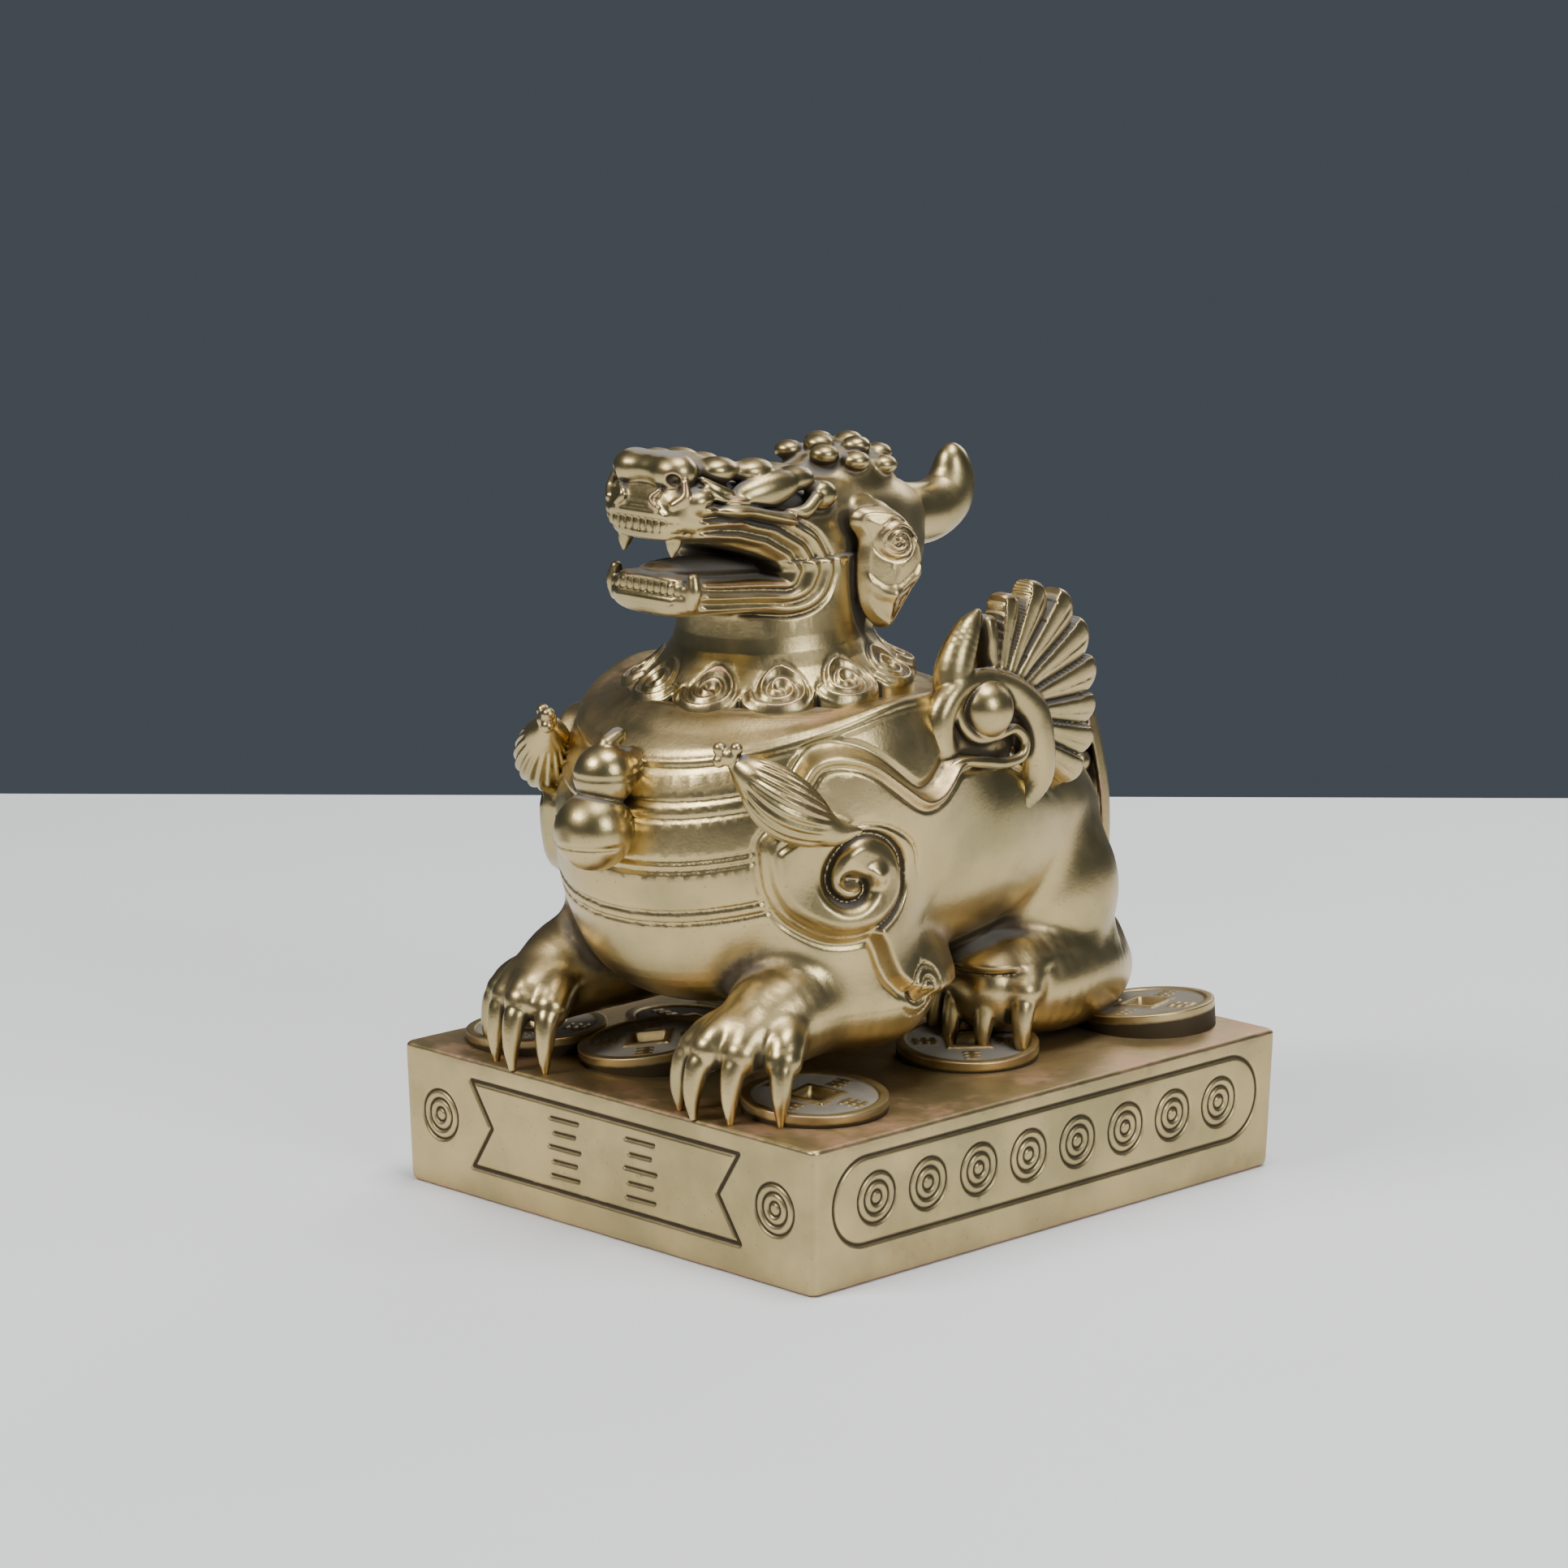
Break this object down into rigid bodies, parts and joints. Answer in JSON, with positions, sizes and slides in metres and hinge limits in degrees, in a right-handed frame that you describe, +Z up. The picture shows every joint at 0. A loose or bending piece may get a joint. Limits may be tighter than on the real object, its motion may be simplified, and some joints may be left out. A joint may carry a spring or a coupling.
{
  "type": "pixiu figure",
  "caption": "Brass pixiu, a winged and horned guardian beast with open jaws, crouching on cash coins on a rectangular engraved plinth.",
  "frame": {"origin": "centre of the plinth's flat underside", "axes": "+Z up, -Y the way the beast faces, +X the beast's left side"},
  "size_m": [0.1, 0.1278, 0.1309],
  "materials": {
    "figure_brass": "aged polished brass, brown in the recesses",
    "plinth_brass": "aged satin brass with dusty, stained edges"
  },
  "bodies": {
    "root": {"pixiu": "figure_brass", "plinth": "plinth_brass"}
  },
  "joints": []
}
